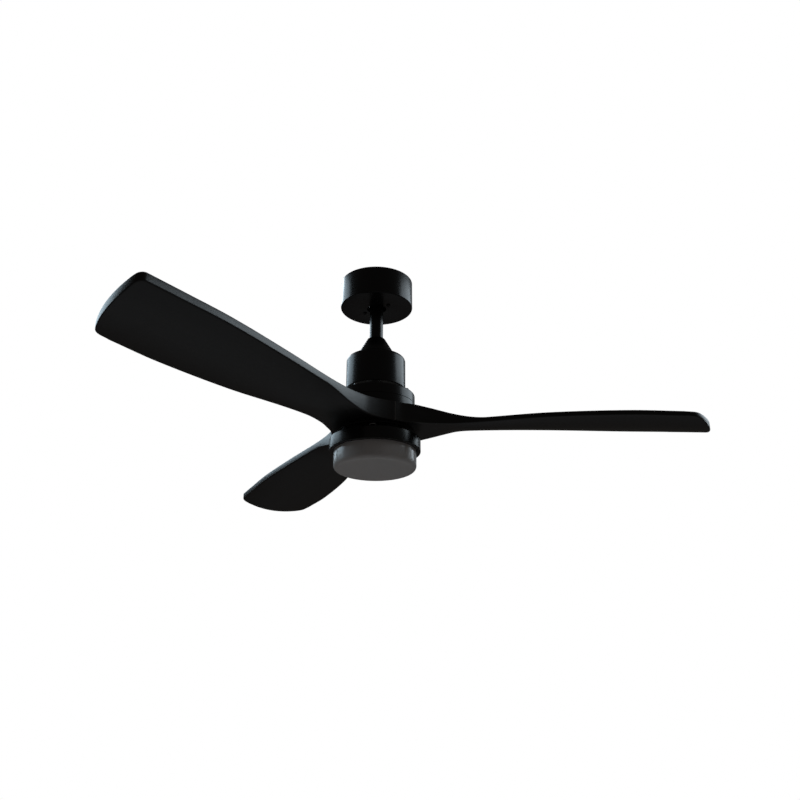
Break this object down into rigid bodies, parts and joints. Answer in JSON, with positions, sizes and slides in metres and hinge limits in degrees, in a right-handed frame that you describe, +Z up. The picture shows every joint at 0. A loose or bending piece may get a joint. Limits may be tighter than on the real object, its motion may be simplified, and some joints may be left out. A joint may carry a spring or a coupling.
{
  "type": "ceiling fan with light",
  "caption": "Ceiling fan with twisted solid wood blades on a black motor, hung by a ball-jointed downrod from a round canopy, with a drum-shaped light under the hub.",
  "frame": {"origin": "Centre of the ceiling plate's top face, on the ceiling. Everything hangs below it.", "axes": "+Z up, out of the ceiling plate's top face. +X along blade 1."},
  "size_m": [1.0354, 1.1674, 0.411],
  "materials": {
    "black_paint": "satin black paint",
    "black_wood": "black stain with faint grain, satin",
    "opal_plastic": "opal white, satin",
    "zinc_steel": "zinc plated",
    "bearing_steel": "ground",
    "core_steel": "lamination steel",
    "copper_wire": "enamelled copper",
    "magnet_ferrite": "sintered ferrite",
    "nylon": "black nylon",
    "white_plastic": "moulded",
    "circuit_board": "solder mask",
    "aluminium": "satin"
  },
  "bodies": {
    "mount": {"ceiling_plate": "zinc_steel", "hanger_bracket": "zinc_steel", "bracket_nut_1": "zinc_steel", "bracket_nut_2": "zinc_steel", "terminal_block": "white_plastic"},
    "canopy": {"canopy": "black_paint", "canopy_screw_1": "black_paint", "canopy_screw_2": "black_paint"},
    "ball_seat": {"ball_seat_liner": "nylon"},
    "motor_unit": {"hanger_ball": "nylon", "ball_cross_pin": "bearing_steel", "ball_set_screw": "zinc_steel", "downrod": "black_paint", "motor_yoke": "zinc_steel", "clevis_pin": "bearing_steel", "retaining_clip": "zinc_steel", "yoke_set_screw_1": "zinc_steel", "yoke_set_screw_2": "zinc_steel", "upper_housing": "black_paint", "housing_base": "aluminium", "driver_board": "circuit_board", "capacitor_1": "aluminium", "capacitor_2": "aluminium", "remote_receiver": "white_plastic", "motor_shaft": "bearing_steel", "stator_core": "core_steel", "stator_winding": "copper_wire", "upper_bearing_inner": "bearing_steel", "lower_bearing_inner": "bearing_steel", "shaft_flange": "zinc_steel", "shaft_nut": "zinc_steel", "light_pan": "black_paint", "pan_screw_1": "zinc_steel", "pan_screw_2": "zinc_steel", "pan_screw_3": "zinc_steel", "led_board": "aluminium", "led_driver": "white_plastic"},
    "cover": {"coupling_cover": "black_paint"},
    "rotor": {"rotor_upper_shell": "black_paint", "rotor_lower_shell": "black_paint", "magnet_ring": "magnet_ferrite", "rotor_back_iron": "core_steel", "upper_bearing_outer": "bearing_steel", "lower_bearing_outer": "bearing_steel", "rotor_screw_1": "zinc_steel", "rotor_screw_2": "zinc_steel", "rotor_screw_3": "zinc_steel", "rotor_screw_4": "zinc_steel", "blade_1": "black_wood", "blade_2": "black_wood", "blade_3": "black_wood", "blade_clamp_plate": "black_paint", "blade_screw_1": "zinc_steel", "blade_screw_2": "zinc_steel", "blade_screw_3": "zinc_steel", "blade_screw_4": "zinc_steel", "blade_screw_5": "zinc_steel", "blade_screw_6": "zinc_steel"},
    "diffuser": {"diffuser": "opal_plastic"}
  },
  "joints": [
    {"name": "canopy_slide", "type": "slide", "parent": "mount", "child": "canopy", "axis": [0, 0, 1], "range_m": [-0.03, 0]},
    {"name": "ball_tilt_x", "type": "hinge", "parent": "mount", "child": "ball_seat", "pos_m": [0, 0, -0.03215], "axis": [1, 0, 0], "range_deg": [-3, 3]},
    {"name": "ball_tilt_y", "type": "hinge", "parent": "ball_seat", "child": "motor_unit", "pos_m": [0, 0, -0.03215], "axis": [0, 1, 0], "range_deg": [-3, 3]},
    {"name": "cover_slide", "type": "slide", "parent": "motor_unit", "child": "cover", "axis": [0, 0, 1], "range_m": [0, 0.03]},
    {"name": "rotor_spin", "type": "hinge", "parent": "motor_unit", "child": "rotor", "pos_m": [0, 0, -0.277], "axis": [0, 0, 1], "continuous": true},
    {"name": "diffuser_twist", "type": "hinge", "parent": "motor_unit", "child": "diffuser", "pos_m": [0, 0, -0.362], "axis": [0, 0, 1], "range_deg": [0, 22]}
  ]
}
